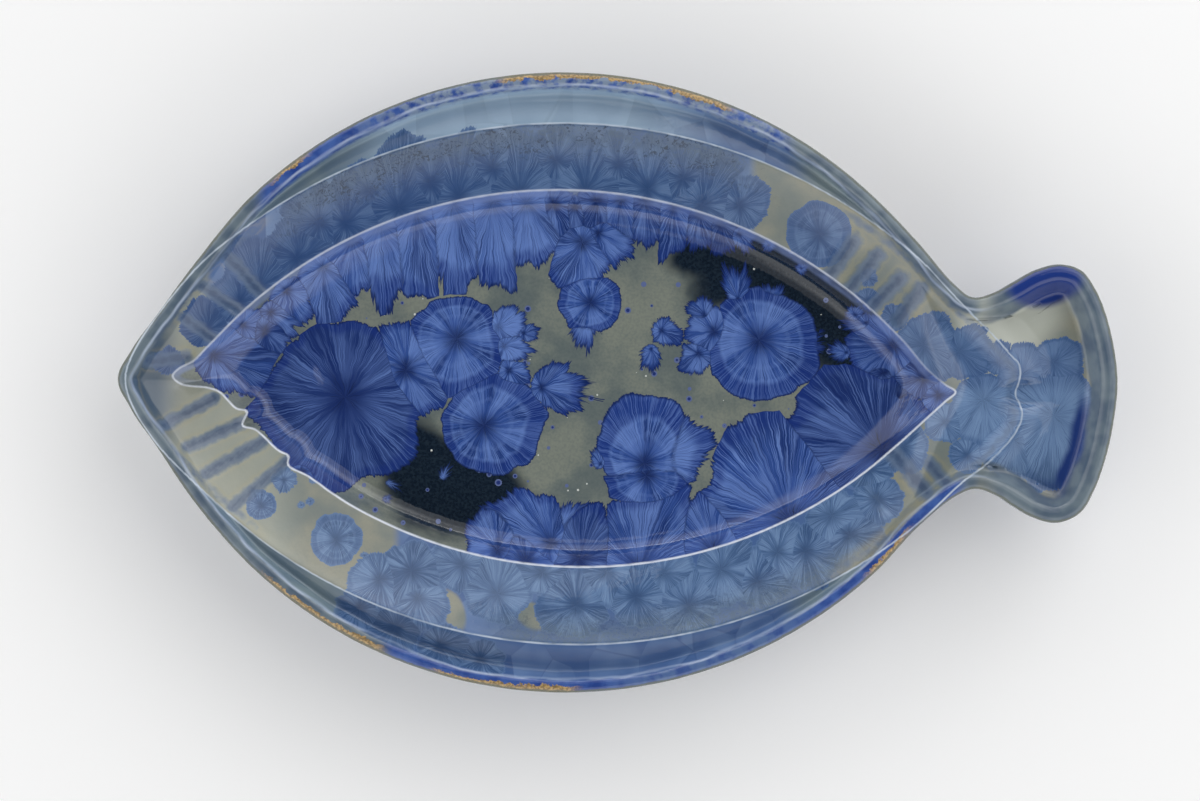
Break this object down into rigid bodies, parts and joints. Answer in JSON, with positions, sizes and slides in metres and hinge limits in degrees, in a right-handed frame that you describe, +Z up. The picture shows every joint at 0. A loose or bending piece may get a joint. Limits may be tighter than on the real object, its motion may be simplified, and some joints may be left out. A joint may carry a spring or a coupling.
{
  "type": "fish shaped platter",
  "caption": "Shallow serving platter in the outline of a fish, with a raised lip, a sloping flange, a flat well and a fan shaped tail as its grip.",
  "frame": {"origin": "on the surface the platter stands on, below the middle of its length and width", "axes": "+X from the nose to the tail, +Z up, +Y across to the left of the fish seen from above"},
  "size_m": [0.33, 0.2048, 0.039],
  "materials": {
    "stoneware": "matt, bare fired clay",
    "crystal_glaze": "glossy blue crystals on a grey-olive ground, breaking ochre on the lip",
    "outside_glaze": "glossy slate blue, thinning to a dull ochre above the foot"
  },
  "bodies": {
    "root": {"base_dish": "stoneware", "upper_flange": "stoneware", "lower_flange": "stoneware", "tail_slab": "stoneware", "body_coil": "stoneware", "tail_coil": "stoneware", "foot_ring": "stoneware", "well_glaze": "crystal_glaze", "upper_flange_glaze": "crystal_glaze", "lower_flange_glaze": "crystal_glaze", "rim_glaze": "crystal_glaze", "tail_glaze": "crystal_glaze", "outside_glaze": "outside_glaze"}
  },
  "joints": []
}
